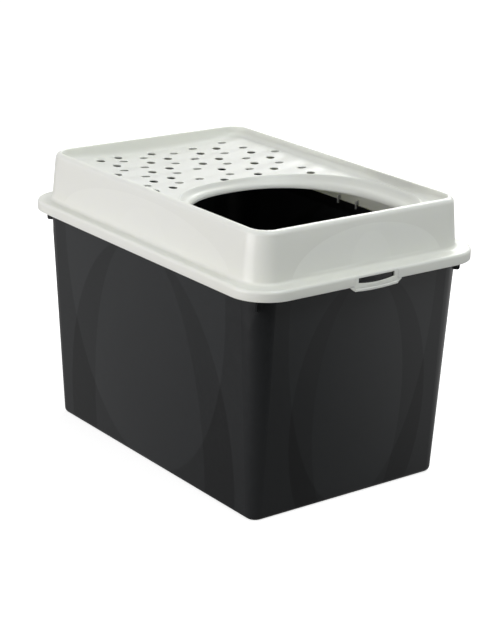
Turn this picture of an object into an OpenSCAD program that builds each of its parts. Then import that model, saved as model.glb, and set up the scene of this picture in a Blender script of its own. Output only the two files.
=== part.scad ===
// Top entry litter box: a drafted tub with a latched lid. The lid has a sunken,
// perforated tread and a large arched entry with a rolled collar.
// Millimetres. +Z up, origin under the middle of the tub, entry end towards -Y.

/* [Tub] */
// How far the tub's foot lies inside the lid's flange, at each side
foot_in_w = 35.5; // [33.5:0.5:46.5]
// How far the tub's foot lies inside the lid's flange, at each end
foot_in_l = 41.5; // [39.5:0.5:54.5]
// Outer corner radius of the tub at the floor
foot_corner_r = 15.5; // [14:0.5:20]
// Draft of the tub walls, degrees from upright
tub_draft = 3.15; // [2.8:0.05:3.2]
// Thickness of the tub walls
tub_wall = 2.6; // [2:0.1:3.2]
// Thickness of the tub floor
tub_floor = 3; // [2.4:0.1:4]
// Rounding where the tub walls meet the floor, outside
foot_edge_r = 8; // [5:0.5:10]
// Height of the top face of the tub's shelf, which carries the lid
shelf_z = 331.8; // [300:0.2:340]
// Thickness of the shelf
shelf_t = 2.6; // [2:0.1:3.5]
// Depth of the shelf's turned-down edge, from the shelf's top face
shelf_edge_h = 9.5; // [6:0.5:11]
// Height of the upstand inside the lid, above the shelf
upstand_h = 8.2; // [4:0.2:12]
// Thickness of the upstand
upstand_t = 2.2; // [1.6:0.1:3]
// Depth of the four corner fins below the shelf's top face
fin_h = 31; // [20:1:40]
// How far the fins stand out from the tub's corners
fin_out = 8.5; // [5:0.5:10]
// Thickness of the fins
fin_t = 2.2; // [1.5:0.1:4]

/* [Lid flange] */
// Width over the lid's flange
flange_w = 393; // [360:1:430]
// Length over the lid's flange, without the latch lips
flange_l = 569; // [520:1:620]
// Corner radius of the flange
flange_corner_r = 53; // [49:1:56]
// Thickness of the flange and its skirt
flange_t = 2.6; // [2:0.1:3]
// Depth of the skirt below the seat on the shelf
skirt_h = 12.5; // [11:0.5:15]
// Rounding of the flange's top edge
flange_edge_r = 4.4; // [3:0.2:5]
// Gap between the skirt and the tub's shelf edge
skirt_gap = 1.2; // [0.6:0.1:2]

/* [Lid surround] */
// Overall height, floor to rim
overall_h = 404; // [396:1:420]
// How far the rim lies inside the flange, at each side
rim_in_w = 24; // [22.5:0.5:26.5]
// How far the rim lies inside the flange, at each end
rim_in_l = 27; // [25.5:0.5:32]
// Outer corner radius of the rim
rim_corner_r = 32; // [30:1:36]
// Width of the rolled rim
rim_roll = 9; // [8:0.5:11]
// Draft of the surround's outer wall, degrees from upright
surround_draft = 4.9; // [4:0.1:5.2]
// Draft of the wall inside the rim, degrees from upright
inner_draft = 4; // [2:0.5:6]
// Thickness of the surround
lid_wall = 2.4; // [2:0.1:2.8]
// Radius of the fillet where the surround meets the flange
surround_fillet = 5; // [3:0.5:6]

/* [Tread] */
// Drop from the rim to the middle of the tread
tread_drop = 21.5; // [18:0.5:26]
// Radius of the tread's shallow trough, across the width
trough_r = 1720; // [1400:10:3000]
// Thickness of the tread
tread_t = 1.4; // [1.2:0.1:2.4]
// Depth of the stiffening bands under every second row of holes
band_t = 1.4; // [0.5:0.1:1.6]
// Width of the stiffening bands
band_w = 16; // [14:0.5:18]
// Diameter of the drain holes
hole_d = 12.8; // [9:0.1:13.4]
// Distance between columns of holes
col_pitch = 31.3; // [28:0.1:34]
// Distance between rows of holes
row_pitch = 24; // [23:0.1:26]
// Distance from the back of the rim to the middle of the first row
row_start = 18.8; // [18:0.1:26]
// Distance between the first row and the second
row_first = 19.2; // [18:0.1:26]
// How much further back each next column lies
row_slant = 2.3; // [0:0.1:4]
// Sideways offset of the middle of the pattern
col_shift = 12; // [-4:0.5:16]
// Plain border between the holes and the side walls
side_border = 8; // [4:0.1:20]

/* [Entry] */
// Distance from the outside of the rim to the entry opening, at each side
entry_in_w = 31.5; // [28.5:0.5:47.5]
// Distance from the outside of the rim's front to the widest line of the entry
entry_in_l = 131.5; // [122.5:0.5:147.5]
// Length of the entry's arched rear part
entry_arch = 161; // [140:1:165]
// Length of the entry's front part
entry_front = 92; // [70:1:96]
// Height of the entry's lip below the rim
entry_drop = 36.5; // [30:0.5:40]
// Width of the collar at the sides
collar_w = 17.5; // [14:0.5:19.5]
// Width of the collar at the top of the arch
collar_arch_w = 11; // [10:0.5:24]
// Width of the collar at the front
collar_front_w = 20; // [14:0.5:21]
// Height of the collar's bead above the tread
bead_h = 1.2; // [0.6:0.1:2]
// Thickness of the collar
collar_t = 2.3; // [1.8:0.1:3]

/* [Guide ribs] */
// Distance between the two ribs of a pair
rib_pitch = 41; // [20:1:60]
// Distance from the middle of the lid to the middle of a pair, towards the entry
rib_y = 16; // [0:1:40]
// Thickness of the ribs
rib_t = 1.3; // [1.2:0.1:2.4]
// How far the ribs reach below the top of the upstand
rib_reach = 5; // [2:0.5:7]
// Height of the ribs above the top of the upstand
rib_rise = 8; // [4:0.5:12]
// Depth of the ribs beside the upstand
rib_depth = 2.8; // [2:0.1:5]

/* [Latches] */
// Width of the window in the skirt
window_w = 61; // [50:1:66]
// Height of the window in the skirt
window_h = 8.8; // [7.9:0.1:9]
// Width of the catch on the tub
catch_w = 56; // [40:1:58]
// Height of the catch on the tub
catch_h = 7.2; // [5:0.1:7.4]
// Depth of the catch behind the latch's bar
catch_grip = 2; // [1:0.1:2.2]
// How much further the catch stands out at its middle than at its ends
catch_bow = 1.8; // [0:0.1:2.4]
// Width of each of the latch's two arms
arm_w = 6; // [4:0.5:7]
// How much lower the window's sill and the lip lie at their middles
latch_sag = 2.6; // [0:0.1:3]
// Width of the latch's lip at its top
lip_w = 87; // [82:1:96]
// Length by which the lip's sloping ends draw in
lip_slope = 7; // [4:0.5:10]
// Height of the lip below the skirt
lip_drop = 8; // [5:0.5:10]
// How far the lip stands out from the skirt
lip_out = 1.5; // [0.5:0.1:3]
// Gap round the latch
latch_gap = 0.35; // [0.3:0.05:0.6]

/* [Hidden] */
$fn = 96;
dark = "#2b2d30";
pale = "#e4e3dd";
tiny = 0.01;

// Foot, rim and entry lie inside the flange and follow it.
foot_w = flange_w - 2 * foot_in_w;
foot_l = flange_l - 2 * foot_in_l;
rim_w = flange_w - 2 * rim_in_w;
rim_l = flange_l - 2 * rim_in_l;
entry_w = rim_w - 2 * entry_in_w;
entry_y = rim_l / 2 - entry_in_l;

// Corner centres that each ring of the box is swept round.
tub_c = [foot_w / 2 - foot_corner_r, foot_l / 2 - foot_corner_r];
flange_c = [flange_w / 2 - flange_corner_r, flange_l / 2 - flange_corner_r];
rim_c = [rim_w / 2 - rim_corner_r, rim_l / 2 - rim_corner_r];

shelf_bottom = shelf_z - shelf_t;
upstand_top = shelf_z + upstand_h;
flange_top = shelf_z + flange_t;
skirt_bottom = shelf_z - skirt_h;
skirt_in_r = flange_corner_r - flange_t;
shelf_out_r = skirt_in_r - skirt_gap;

// Outer radius of the lid's surround at a height, from its corner centre.
function surround_r(z) = rim_corner_r + (overall_h - rim_roll / 2 - z) * tan(surround_draft);
// The upstand stands clear inside the surround, at its sides, ends and corners.
surround_in = [for (i = [0, 1]) rim_c[i] + surround_r(upstand_top) - lid_wall];
upstand_gap = 1.2;
upstand_r = min(surround_in[0] - tub_c[0], surround_in[1] - tub_c[1]) - upstand_gap;
upstand_in_r = upstand_r - upstand_t;

// Tub wall, outer and inner radius at a height.
function tub_r(z) = foot_corner_r + z * tan(tub_draft);
function tub_in_r(z) = tub_r(z) - tub_wall / cos(tub_draft);

tread_z = overall_h - tread_drop;
entry_z = overall_h - entry_drop;
inner_top_r = rim_corner_r - rim_roll;
function inner_r(z) = inner_top_r - (overall_h - rim_roll / 2 - z) * tan(inner_draft);

function arc(c, r, a0, a1, n) = [for (i = [0:n]) c + r * [cos(a0 + (a1 - a0) * i / n), sin(a0 + (a1 - a0) * i / n)]];

// Sweeps a profile, radius across and height up, round a rectangle of corner centres.
module swept(c) {
    for (sx = [0, 1], sy = [0, 1])
        mirror([sx, 0, 0]) mirror([0, sy, 0])
            translate([c[0], c[1], 0]) rotate_extrude(angle = 90) children();
    for (sx = [0, 1])
        mirror([sx, 0, 0]) translate([c[0], 0, 0])
            rotate([90, 0, 0]) linear_extrude(2 * c[1], center = true) children();
    for (sy = [0, 1])
        mirror([0, sy, 0]) translate([0, c[1], 0])
            rotate([90, 0, 90]) linear_extrude(2 * c[0], center = true) children();
}

// A flat plate with rounded corners, from z0 to z1.
module plate(c, r, z0, z1) {
    translate([0, 0, z0]) linear_extrude(z1 - z0) {
        for (sx = [-1, 1], sy = [-1, 1]) translate([sx * c[0], sy * c[1]]) circle(r);
        square([2 * (c[0] + r), 2 * c[1]], center = true);
        square([2 * c[0], 2 * (c[1] + r)], center = true);
    }
}

// ---- Tub ----

// Half section of floor edge and wall: a true round inside and outside at the floor.
module tub_profile() {
    in_r = foot_edge_r - tub_wall;
    knee = foot_edge_r * tan((90 - tub_draft) / 2);
    out_c = [tub_r(0) - knee, foot_edge_r];
    in_c = [out_c[0], tub_floor + in_r];
    polygon(concat(
        [[0, 0]],
        arc(out_c, foot_edge_r, -90, -tub_draft, 6),
        [[tub_r(shelf_bottom), shelf_bottom], [tub_in_r(shelf_bottom), shelf_bottom]],
        arc(in_c, in_r, -tub_draft, -90, 6),
        [[0, tub_floor]]));
}

// Shelf all round the top, its turned-down edge and the upstand inside the lid.
module tub_rim() {
    difference() {
        plate(flange_c, shelf_out_r, shelf_bottom, shelf_z);
        plate(tub_c, upstand_in_r, shelf_bottom - 1, shelf_z + 1);
    }
    swept(flange_c) translate([shelf_out_r - shelf_t, shelf_z - shelf_edge_h])
        square([shelf_t, shelf_edge_h - tiny]);
    swept(tub_c) translate([upstand_in_r, shelf_bottom + tiny])
        square([upstand_t, upstand_top - shelf_bottom - tiny]);
}

// Upright web under the shelf, out along the corner's diagonal.
module corner_fin() {
    toe = 3;
    z0 = shelf_z - fin_h;
    root = tub_r(z0) - tub_wall / 2;
    tip = tub_r(z0) + fin_out;
    translate([tub_c[0], tub_c[1], 0]) rotate([0, 0, 45]) rotate([90, 0, 0])
        linear_extrude(fin_t, center = true)
            polygon(concat([[root, z0]], arc([tip - toe, z0 + toe], toe, -90, 0, 5),
                [[tip + 1, shelf_bottom + tiny], [tub_r(shelf_bottom) - tub_wall / 2, shelf_bottom + tiny]]));
}

// Lug on the shelf's edge that stands in the lid's window: sloped on top, to ride past
// the bar, and bowed along its length.
module tub_catch() {
    face = flange_c[1] + shelf_out_r;
    reach = skirt_gap + catch_grip;
    z1 = window_top - 0.6;
    z0 = z1 - catch_h;
    bow_r = catch_bow / 2 + catch_w * catch_w / (8 * max(catch_bow, tiny));
    translate([0, -face, 0]) intersection() {
        rotate([90, 0, 90]) linear_extrude(catch_w, center = true)
            polygon([[1, z0], [-reach, z0], [-reach, z1 - reach * 0.8], [-reach * 0.35, z1], [1, z1]]);
        translate([0, bow_r - reach, z0 - 1]) cylinder(h = catch_h + 2, r = bow_r, $fn = 720);
    }
}

module tub() {
    color(dark) {
        swept(tub_c) tub_profile();
        translate([-tub_c[0], -tub_c[1], 0]) cube([2 * tub_c[0], 2 * tub_c[1], tub_floor]);
        tub_rim();
        for (sx = [0, 1], sy = [0, 1]) mirror([sx, 0, 0]) mirror([0, sy, 0]) corner_fin();
        for (sy = [0, 1]) mirror([0, sy, 0]) tub_catch();
    }
}

// ---- Lid ----

window_top = shelf_z - 0.6;
window_bottom = window_top - window_h;

// Turned-down skirt with a rounded top edge.
module skirt_profile() {
    top_c = [flange_corner_r - flange_edge_r, flange_top - flange_edge_r];
    polygon(concat(
        [[skirt_in_r, skirt_bottom], [flange_corner_r, skirt_bottom]],
        arc(top_c, flange_edge_r, 0, 90, 6),
        [[top_c[0] - 3, flange_top], [top_c[0] - 3, shelf_z], [skirt_in_r, shelf_z]]));
}

// Surround: up the outside, over the rolled rim and down inside to below the tread.
module surround_profile() {
    z_roll = overall_h - rim_roll / 2;
    roll_c = [rim_corner_r - rim_roll / 2, z_roll];
    foot_z = flange_top + surround_fillet;
    low = tread_z - tread_t - band_t - 1.5;
    polygon(concat(
        [[surround_r(shelf_z) - lid_wall, shelf_z], [surround_r(foot_z) + surround_fillet, shelf_z]],
        arc([surround_r(foot_z) + surround_fillet, foot_z], surround_fillet, 270, 180 + surround_draft, 4),
        arc(roll_c, rim_roll / 2, 0, 180, 10),
        [[inner_r(low), low], [inner_r(low) + lid_wall, low]],
        arc(roll_c, rim_roll / 2 - lid_wall, 180, 0, 8)));
}

module flange_plate() {
    difference() {
        plate(flange_c, flange_corner_r - flange_edge_r - 1, shelf_z, flange_top);
        plate(rim_c, surround_r(shelf_z) - lid_wall, shelf_z - 1, flange_top + 1);
    }
}

// Height of the tread's upper face at x.
function tread_top(x) = tread_z + trough_r - sqrt(trough_r * trough_r - x * x);

// Collar outline: k = 0 at the entry's lip, 1 at the collar's outer edge.
collar_steps = 72;
arch_n = [2.3, 2.2];
front_n = 3.4;
function mix(a, b, k) = a + (b - a) * k;
function entry_a(k) = entry_w / 2 + collar_w * k;
function entry_b(k) = entry_arch + collar_arch_w * k;
function entry_f(k) = entry_front + collar_front_w * k;
function pow_sign(v, e) = sign(v) * pow(abs(v), e);
function outline(t, k) =
    let (n = sin(t) > 0 ? mix(arch_n[0], arch_n[1], k) : front_n)
    [entry_a(k) * pow_sign(cos(t), 2 / n),
     (sin(t) > 0 ? entry_b(k) : entry_f(k)) * pow_sign(sin(t), 2 / n) - entry_y];

// Collar section as [k, share of the height from lip to bead, drop below that]: over the
// bead, down a steep flank, across a sloping shelf and over the rounded lip, then back below.
bead = bead_h;
collar_section = [
    [1.00, 1, bead + tread_t + 0.6], [1.00, 1, bead + 0.4], [0.97, 1, 0.3], [0.93, 1, 0], [0.88, 1, 0.3],
    [0.82, 0.90, 0], [0.74, 0.72, 0], [0.66, 0.62, 0], [0.54, 0.56, 0], [0.34, 0.48, 0],
    [0.20, 0.41, 0], [0.09, 0.31, 0], [0.03, 0.18, 0], [0.00, 0.04, 0], [0.01, 0, 0],
    [0.10, 0, 0], [0.16, 0.27, collar_t], [0.36, 0.48, collar_t], [0.66, 0.60, collar_t],
    [0.82, 0.76, collar_t], [0.90, 1, bead + tread_t + 0.6]];

module collar() {
    steps = collar_steps;
    n = len(collar_section);
    pts = [for (i = [0:steps - 1]) for (s = collar_section)
        let (p = outline(360 * i / steps, s[0]))
        [p[0], p[1], mix(entry_z, tread_top(p[0]) + bead, s[1]) - s[2]]];
    faces = [for (i = [0:steps - 1]) for (j = [0:n - 1])
        let (a = i * n + j, b = i * n + (j + 1) % n)
        let (c = ((i + 1) % steps) * n + (j + 1) % n, d = ((i + 1) % steps) * n + j)
        each [[a, b, c], [a, c, d]]];
    polyhedron(pts, faces, convexity = 6);
}

module collar_disc(k, z0, z1) {
    translate([0, 0, z0]) linear_extrude(z1 - z0)
        polygon([for (i = [1:collar_steps]) outline(360 * i / collar_steps, k)]);
}

// A slice of trough, t thick.
module trough(t) {
    translate([0, 0, tread_z + trough_r]) rotate([90, 0, 0]) difference() {
        cylinder(h = rim_l, r = trough_r + t, center = true, $fn = 720);
        cylinder(h = rim_l + 2, r = trough_r, center = true, $fn = 720);
    }
}

// Row and column places of the holes: two columns of every three hold one,
// and each row starts one column further on. The rows slant a little.
rows = [0:10];
cols = [-2:9];
mid_col = 3.5;
pair_skew = 2.8;
pair_spread = [1.9, 4.6];
plain_places = [[6, 3], [1, -1], [2, -1], [5, -1]];
function row_y(j) = rim_l / 2 - row_start - (j > 0 ? row_first + row_pitch * (j - 1) : 0);
function held(j, i) = (i - j + 33) % 3 != 2 && len([for (q = plain_places) if (q == [j, i]) q]) == 0;
function hole_at(j, i) =
    let (side = (i - j + 33) % 3 == 0 ? -1 : 1)
    [col_shift + col_pitch * (i - mid_col) + side * pair_spread[j % 2],
     row_y(j) + row_slant * (i - mid_col) + side * pair_skew];
// True where a hole is clear of the collar, the side borders and the back wall.
collar_edge = [for (t = [0:1.5:180]) outline(t, 1)];
function beyond_collar(p) =
    p[1] > -entry_y &&
    pow(abs(p[0]) / entry_a(1), arch_n[1]) + pow((p[1] + entry_y) / entry_b(1), arch_n[1]) > 1 &&
    min([for (q = collar_edge) norm(q - p)]) > hole_d / 2 + 0.4;
function on_tread(p) =
    abs(p[0]) < rim_w / 2 - rim_roll - side_border - hole_d / 2 &&
    p[1] < rim_c[1] + inner_r(tread_z) - hole_d / 2 - 0.3 && beyond_collar(p);
holes = [for (j = rows) for (i = cols) if (held(j, i) && on_tread(hole_at(j, i))) hole_at(j, i)];

// A stiffening band under the holes of one row.
module band(j) {
    translate([col_shift, row_y(j), tread_z - 10]) rotate([0, 0, atan(row_slant / col_pitch)])
        translate([-rim_w, -band_w / 2, 0]) cube([2 * rim_w, band_w, 40]);
}

module tread() {
    difference() {
        intersection() {
            union() {
                trough(tread_t);
                intersection() {
                    trough(tread_t + band_t);
                    for (j = rows) if (j % 2 == 1) band(j);
                }
            }
            plate(rim_c, inner_r(tread_z) + lid_wall / 2, tread_z - 10, overall_h - rim_roll);
        }
        collar_disc(0.95, tread_z - 12, overall_h);
        for (p = holes) translate([p[0], p[1], tread_z - 10]) cylinder(h = 40, d = hole_d, $fn = 32);
    }
}

// Thin upright ribs inside the side walls. They straddle the tub's upstand.
module guide_rib() {
    gap = 0.8;
    in_x = tub_c[0] + upstand_in_r - gap;
    z0 = upstand_top - rib_reach;
    z1 = upstand_top + rib_rise;
    wall_x = rim_c[0] + surround_r(upstand_top + gap) - lid_wall / 2;
    top_x = rim_c[0] + surround_r(z1) - lid_wall / 2;
    rotate([90, 0, 0]) linear_extrude(rib_t, center = true)
        polygon([[in_x, z0], [in_x, upstand_top + gap], [wall_x, upstand_top + gap], [top_x, z1],
            [in_x - rib_depth, z1 - rib_depth], [in_x - rib_depth, z0 + 1], [in_x - rib_depth + 1, z0]]);
}

// Room for one latch in the skirt, and the window above its bar.
module latch_room() {
    y0 = flange_l / 2;
    half = window_w / 2 + arm_w + latch_gap;
    translate([-half, -y0 - 1, skirt_bottom - 1])
        cube([2 * half, flange_t + 3, hinge_z + latch_gap - skirt_bottom + 1]);
}

module lid() {
    color(pale) difference() {
        union() {
            swept(flange_c) skirt_profile();
            flange_plate();
            swept(rim_c) surround_profile();
            tread();
            collar();
            for (sx = [0, 1], s = [-1, 1])
                mirror([sx, 0, 0]) translate([0, s * rib_pitch / 2 - rib_y, 0]) guide_rib();
        }
        for (sy = [0, 1]) mirror([0, sy, 0]) latch_room();
    }
}

// ---- Latches ----

// The latch hangs from a thin bend line just under the flange.
hinge_z = window_top;
// Points from left to right along a line w wide that sags in its middle.
function sagged(w, z, sag) = [for (i = [-6:6]) [w * i / 12, z - sag * (1 - i * i / 36)]];
function reversed(v) = [for (i = [len(v) - 1:-1:0]) v[i]];
module latch() {
    y0 = flange_l / 2;
    wing_top = skirt_bottom - latch_gap;
    z0 = skirt_bottom - lip_drop + latch_sag;
    half = window_w / 2 + arm_w;
    edge = sagged(lip_w - 2 * lip_slope, z0, latch_sag);
    translate([0, -y0 + flange_t, 0]) rotate([90, 0, 0]) linear_extrude(flange_t) difference() {
        union() {
            translate([-half, wing_top - 1]) square([2 * half, hinge_z - wing_top + 1]);
            polygon(concat([[-lip_w / 2, wing_top], [-lip_w / 2, wing_top - 1]], edge,
                [[lip_w / 2, wing_top - 1], [lip_w / 2, wing_top]]));
        }
        polygon(concat(sagged(window_w, window_bottom + latch_sag * 0.3, latch_sag),
            [[window_w / 2, hinge_z + 1], [-window_w / 2, hinge_z + 1]]));
    }
    // Finger lip along the lower edge.
    for (s = [[0, 3.6, 0.55], [0.5, 2.6, 1]])
        translate([0, -y0 + tiny, 0]) rotate([90, 0, 0]) linear_extrude(lip_out * s[2] + tiny)
            translate([0, s[0]]) polygon(concat(edge, reversed([for (q = edge) q + [0, s[1]]])));
}

module front_latch() {
    color(pale) latch();
}

module rear_latch() {
    color(pale) mirror([0, 1, 0]) latch();
}

tub();
lid();
front_latch();
rear_latch();
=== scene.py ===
"""Studio picture of a top entry litter box.

A tapered anthracite tub stands under an off-white lid with a sunken, perforated
tread and an arched entry. All lengths are in metres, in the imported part's frame.
"""

import itertools
import math

import bmesh
import bpy
from bpy.props import FloatProperty, FloatVectorProperty, PointerProperty
from mathutils import Matrix, Vector


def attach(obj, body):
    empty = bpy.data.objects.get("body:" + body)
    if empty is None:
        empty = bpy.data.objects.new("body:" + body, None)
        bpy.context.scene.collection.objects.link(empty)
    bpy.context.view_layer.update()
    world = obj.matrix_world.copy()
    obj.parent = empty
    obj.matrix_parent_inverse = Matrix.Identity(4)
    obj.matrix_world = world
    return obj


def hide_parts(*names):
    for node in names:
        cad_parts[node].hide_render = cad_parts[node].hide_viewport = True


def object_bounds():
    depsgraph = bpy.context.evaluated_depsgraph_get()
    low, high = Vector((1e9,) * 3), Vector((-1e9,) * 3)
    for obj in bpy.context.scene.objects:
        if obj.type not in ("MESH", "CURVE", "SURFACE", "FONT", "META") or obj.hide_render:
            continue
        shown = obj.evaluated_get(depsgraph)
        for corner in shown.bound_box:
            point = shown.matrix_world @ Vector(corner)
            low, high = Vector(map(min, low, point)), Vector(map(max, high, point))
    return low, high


bl_info = {
    "name": "Top Entry Litter Box",
    "version": (1, 0, 0),
    "blender": (4, 5, 0),
    "location": "View3D > Sidebar > Litter Box",
    "description": "Dresses a two-part litter box in moulded plastic and sets up its studio",
    "category": "Material",
}

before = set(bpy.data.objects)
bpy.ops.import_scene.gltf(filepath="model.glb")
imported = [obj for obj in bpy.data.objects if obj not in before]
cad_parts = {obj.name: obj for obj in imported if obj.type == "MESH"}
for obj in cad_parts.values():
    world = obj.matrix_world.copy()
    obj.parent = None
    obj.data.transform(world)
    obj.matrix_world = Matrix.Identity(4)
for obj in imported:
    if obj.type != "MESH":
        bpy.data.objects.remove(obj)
CAD_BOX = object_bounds()

PHOTO_HEIGHT_PX = 642
# Each latch's name, and its end of the lid: -1 in front, 1 behind.
LATCHES = (("front_latch", -1), ("rear_latch", 1))


# ---------- settings


def kind(make, **fixed):
    """A short spelling for one kind of setting."""

    def setting(name, description, default, **limits):
        return make(name=name, description=description, default=default, **{**fixed, **limits})

    return setting


number = kind(FloatProperty, min=0.0)
length = kind(FloatProperty, min=0.0, unit="LENGTH", precision=4)
colour = kind(FloatVectorProperty, subtype="COLOR", size=3, min=0.0, max=1.0)
factor = kind(FloatProperty, subtype="FACTOR", min=0.0, max=1.0)
angle = kind(FloatProperty, subtype="ANGLE", unit="ROTATION")
power = kind(FloatProperty, min=0.0, unit="POWER")


class LidShape(bpy.types.PropertyGroup):
    """Sizes of the lid's moulding"""

    rim_width: length("Rim Width", "Outer width over the rolled rim", 0.345)
    rim_length: length("Rim Length", "Outer length over the rolled rim", 0.515)
    rim_corner: length("Rim Corner", "Outer corner radius of the rim", 0.032)
    rim_roll: length("Rim Roll", "Width of the rolled rim", 0.009)
    rim_inside: length("Rim Inside", "Rounding of the rolled rim's inner edge", 0.0015)
    wall: length("Wall", "Thickness of the surround", 0.0024)
    flange_width: length("Flange Width", "Width over the flange", 0.393)
    flange_length: length("Flange Length", "Length over the flange", 0.569)
    flange_corner: length("Flange Corner", "Corner radius of the flange", 0.053)
    flange_edge: length("Flange Edge", "Rounding of the flange's top edge", 0.0044)
    flange_thickness: length("Flange Thickness", "Thickness of flange and skirt", 0.0026)
    seat: length("Seat Height", "Height of the tub's shelf", 0.3318)
    skirt: length("Skirt Depth", "Depth of the skirt below the seat", 0.0125)
    fillet: length("Fillet", "Fillet where the surround meets the flange", 0.005)
    drop: length("Tread Drop", "Drop from the rim to the middle of the tread", 0.0215)
    trough: length("Trough Radius", "Radius of the tread's shallow trough", 1.72)
    tread: length("Tread Thickness", "Thickness of the tread", 0.0014)
    cove: length("Cove", "Largest fillet round the tread", 0.008)
    wave: length("Wave", "Height of the tread's waves", 0.0006)
    band: length("Band Depth", "Depth of the stiffening bands under the tread", 0.0014)
    band_width: length("Band Width", "Width of the stiffening bands", 0.016)
    hole: length("Hole", "Diameter of the drain holes", 0.0128)


class EntryShape(bpy.types.PropertyGroup):
    """Sizes of the entry and its collar"""

    width: length("Width", "Width of the opening", 0.282)
    middle: length("Middle", "From the lid's middle to the opening's widest line", 0.126)
    arch: length("Arch", "Length of the arched rear part", 0.161)
    front: length("Front", "Length of the front part", 0.092)
    drop: length("Drop", "Height of the lip below the rim", 0.0365)
    collar: length("Collar", "Width of the collar at the sides", 0.0175)
    collar_arch: length("Collar at the Arch", "Width of the collar at the arch's top", 0.011)
    collar_front: length("Collar at the Front", "Width of the collar at the front", 0.020)
    bead: length("Bead", "Height of the collar's bead above the tread", 0.0012)
    thickness: length("Thickness", "Thickness of the collar", 0.0023)


class LatchShape(bpy.types.PropertyGroup):
    """Sizes of the latches"""

    window: length("Window Width", "Width of the window", 0.061)
    window_height: length("Window Height", "Height of the window", 0.0088)
    arm: length("Arm", "Width of each arm", 0.006)
    sag: length("Sill Sag", "Drop of the window's sill at its middle", 0.0026)
    lip_sag: length("Lip Sag", "Drop of the lip at its middle", 0.0017)
    lip: length("Lip Width", "Width of the finger lip at its top", 0.087)
    slope: length("Lip Slope", "Length by which the lip's ends draw in", 0.007)
    lip_drop: length("Lip Drop", "Height of the lip below the skirt", 0.008)
    lip_out: length("Lip Reach", "How far the lip stands out from the skirt", 0.0015)
    gap: length("Gap", "Gap beside and below the latch", 0.00015)
    hinge_gap: length("Hinge Gap", "Gap above the latch, with room for its swing", 0.00027)
    edge: length("Edge", "Rounding of the latch's edges", 0.0005)


class TubFinish(bpy.types.PropertyGroup):
    """Colours and gloss of the tub"""

    colour: colour("Colour", "Anthracite of the tub's plastic", (0.0036, 0.0040, 0.0044))
    # Painted shading and sheen: the pale tone stands in for the light on the ellipses' tilted
    # panels.
    panel_shade_and_sheen: colour("Panel Colour", "Pale tone of the ellipses", (0.0262, 0.0280, 0.0296))
    roughness: factor("Roughness", "Roughness of the tub's satin walls", 0.325)
    crown: length("Panel Crown", "Bulge of each ellipse at its middle", 0.0012, max=0.005)


class LidFinish(bpy.types.PropertyGroup):
    """Colours and gloss of the lid and its latches"""

    colour: colour("Colour", "Off-white of the lid's plastic", (0.80, 0.81, 0.745))
    shade: colour("Flow Shade", "Cooler tone where the plastic flowed", (0.78, 0.80, 0.76))
    # Painted sheen: the arches' paler colour stands in for the look of their satin finish.
    arch: colour("Arch Colour", "Paler tone of the arches on the walls", (0.865, 0.88, 0.815))
    roughness: factor("Roughness", "Roughness of the lid's surface", 0.31)
    crown: length("Arch Crown", "Bulge of each wall's arch at its middle", 0.0010, max=0.005)


class StudioSettings(bpy.types.PropertyGroup):
    """Camera and lamps"""

    azimuth: angle("Azimuth", "Camera's turn about the upright axis", math.radians(-37.17))
    elevation: angle("Elevation", "Camera's angle above the horizon", math.radians(18.86))
    roll: angle("Roll", "Camera's turn about its own line of sight", math.radians(1.54))
    distance: length("Distance", "From the aim point to the camera", 2.6608, min=0.5)
    aim_right: length("Aim Right", "Aim point's place right of the box", 0.00969, min=-1.0)
    aim_height: length("Aim Height", "Aim point's height above the floor", 0.1844)
    focal_px: number("Focal Length", "Focal length in the photograph's pixels", 1846.3, min=100.0)
    left_lamp: power("Left Lamp", "Power of the low, wide lamp at the left", 22.1)
    back_lamp: power("Back Lamp", "Power of the high lamp at the right and behind", 31.8)
    front_lamp: power("Front Lamp", "Power of the high lamp in front", 21.4)
    ambient: number("Room Light", "Strength of the white room's light", 0.20)


# ---------- lid

# Stations along a long side, a short side and a corner of the lid.
LONG_STEPS = 60
SHORT_STEPS = 38
CORNER_STEPS = 18
# Loops across the tread, up the cove round it, over the rim, and round the smaller edges.
TREAD_STEPS = 28
COVE_STEPS = 6
RIM_STEPS = 18
FILLET_STEPS = 6
EDGE_STEPS = 8

# Draft of the surround's outside and inside, and how far the cove turns, in degrees.
OUTER_DRAFT = 4.9
INNER_DRAFT = 4.0
COVE_TURN = 86
# Cove's share of the room beside it, and how often its sizes are smoothed.
COVE_SHARE = 0.6
COVE_SMOOTHING = 6
# Flat strip beside the flange's round edge, and rounding of the skirt's lower edge.
FLANGE_STRIP = 0.003
SKIRT_ROUNDING = 0.0007
CREASE = math.radians(32)

# Collar section: width share from the lip, height share from lip to bead, rise above that in beads.
COLLAR_TOP = (
    (0.00, 0.05, 0.0), (0.015, 0.15, 0.0), (0.07, 0.27, 0.0), (0.17, 0.38, 0.0),
    (0.30, 0.47, 0.0), (0.45, 0.55, 0.0), (0.58, 0.64, 0.0), (0.70, 0.75, 0.0),
    (0.80, 0.86, 0.0), (0.88, 0.94, 0.0), (0.94, 0.985, 0.0), (0.985, 1.0, -0.30),
    (1.03, 1.0, -0.80), (1.08, 1.0, -1.0),
)
# The same below, with the drop in collar thicknesses.
COLLAR_UNDER = (
    (0.90, 0.93, 1.0), (0.82, 0.76, 1.0), (0.66, 0.60, 1.0), (0.36, 0.48, 1.0),
    (0.16, 0.27, 1.0), (0.105, 0.03, 0.2), (0.08, 0.0, 0.0), (0.02, 0.0, 0.0),
)
# Powers of the opening's superellipse: at the arch's lip, at its collar's edge, and in front.
ARCH_POWERS = (2.3, 2.2)
FRONT_POWER = 3.4

# The drain holes' pattern: rows from the back, columns from the left.
HOLE_ROWS = 11
HOLE_COLUMNS = range(-2, 10)
MIDDLE_COLUMN = 3.5
PATTERN_RIGHT = 0.012
COLUMN_PITCH = 0.0313
ROW_PITCH = 0.024
BACK_ROW = 0.0188
SECOND_ROW = 0.0192
ROW_SLANT = 0.0023
# How far the holes of a pair stand apart from their columns, in even and odd rows, and from
# their row's line.
SPREADS = (0.0019, 0.0046)
STAGGER = 0.0028
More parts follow.
